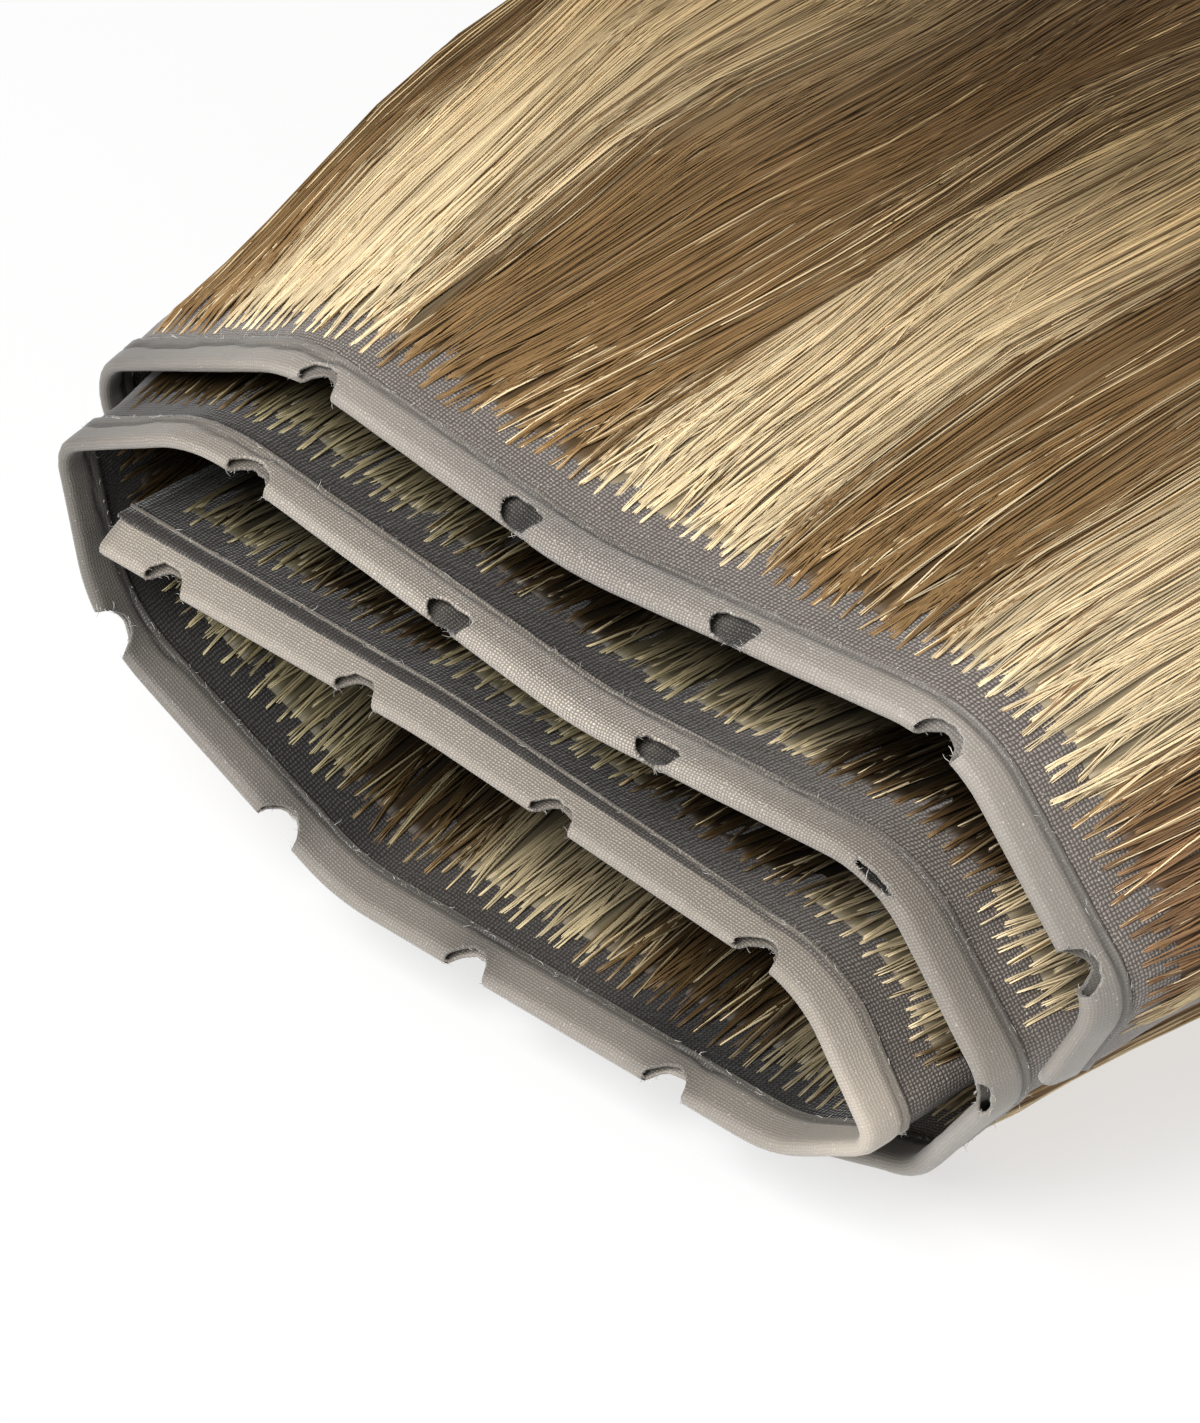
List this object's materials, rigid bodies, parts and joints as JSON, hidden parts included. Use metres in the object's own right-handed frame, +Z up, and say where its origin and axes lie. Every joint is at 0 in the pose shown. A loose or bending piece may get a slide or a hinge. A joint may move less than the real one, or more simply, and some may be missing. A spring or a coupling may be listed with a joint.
{
  "type": "rolled hair weft",
  "caption": "Hair weft rolled flat on its side: a woven strip with a folded, punched hem and straight hair sewn behind it, for adding length to a hairstyle.",
  "frame": {"origin": "middle of the whole part's bottom, on the surface that the roll lies on", "axes": "+X along the layers of the roll, +Y from the hem towards the hair's tips, +Z up"},
  "size_m": [0.1196, 0.3736, 0.0422],
  "materials": {
    "hem_cloth": "thin coated cloth, silky",
    "mesh_cloth": "fine open net, matt",
    "hair": "straight hair in blond and brown stripes"
  },
  "bodies": {
    "root": {"hem_band": "hem_cloth", "mesh_strip": "mesh_cloth", "hair_inner": "hair", "hair_lower": "hair", "hair_upper": "hair", "hair_under": "hair", "hair_top": "hair"}
  },
  "joints": []
}
